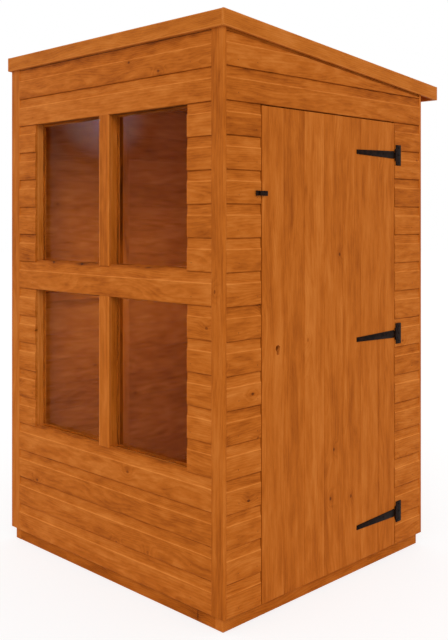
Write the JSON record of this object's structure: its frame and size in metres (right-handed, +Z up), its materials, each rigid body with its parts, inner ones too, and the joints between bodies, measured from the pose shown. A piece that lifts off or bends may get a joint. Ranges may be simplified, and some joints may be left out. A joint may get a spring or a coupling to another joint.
{
  "type": "summerhouse",
  "caption": "Small timber summerhouse with a pent roof, shiplap walls on a joisted floor, tall front windows and a hinged side door with a hasp.",
  "frame": {"origin": "on the ground, under the middle of the roof's outline", "axes": "+Z up, -Y towards the window wall (front), +X towards the door wall (right side)"},
  "size_m": [1.321, 1.305, 2.072],
  "materials": {
    "timber": "orange-brown stain, satin",
    "framing": "rough sawn, thin stain",
    "glass": "clear",
    "black_metal": "black, satin",
    "felt": "mineral grit, matt"
  },
  "bodies": {
    "shed": {"floor_joists": "timber", "floor_rims": "timber", "floor_boards": "timber", "front_cladding_lower": "timber", "front_cladding_sides": "timber", "front_cladding_band": "timber", "front_cladding_upper": "timber", "right_cladding_front": "timber", "right_cladding_back": "timber", "right_cladding_head": "timber", "left_cladding": "timber", "back_cladding": "timber", "front_trims": "timber", "back_trims": "timber", "front_studs": "framing", "front_rails": "framing", "window_mullions": "timber", "glazing_beads": "timber", "lower_left_glass": "glass", "lower_right_glass": "glass", "upper_left_glass": "glass", "upper_right_glass": "glass", "right_studs": "framing", "right_rails": "framing", "left_studs": "framing", "left_rails": "framing", "back_studs": "framing", "back_rails": "framing", "door_stops": "framing", "hinge_plates": "black_metal", "hasp_staple": "black_metal", "lock_keep": "black_metal", "roof_purlins": "framing", "roof_boards": "framing", "roof_felt": "felt", "front_fascia": "timber", "back_fascia": "timber", "side_fascias": "timber"},
    "door": {"door_boards": "timber", "door_ledges": "timber", "door_braces": "timber", "hinge_straps": "black_metal", "hasp_plate": "black_metal", "rim_lock": "black_metal"},
    "hasp": {"hasp_strap": "black_metal"}
  },
  "joints": [
    {"name": "door_hinge", "type": "hinge", "parent": "shed", "child": "door", "pos_m": [0.6535, 0.348, 0], "axis": [0, 0, 1], "range_deg": [0, 170]},
    {"name": "hasp_hinge", "type": "hinge", "parent": "door", "child": "hasp", "pos_m": [0.6525, -0.4485, 1.465], "axis": [0, 0, 1], "range_deg": [0, 150]}
  ]
}
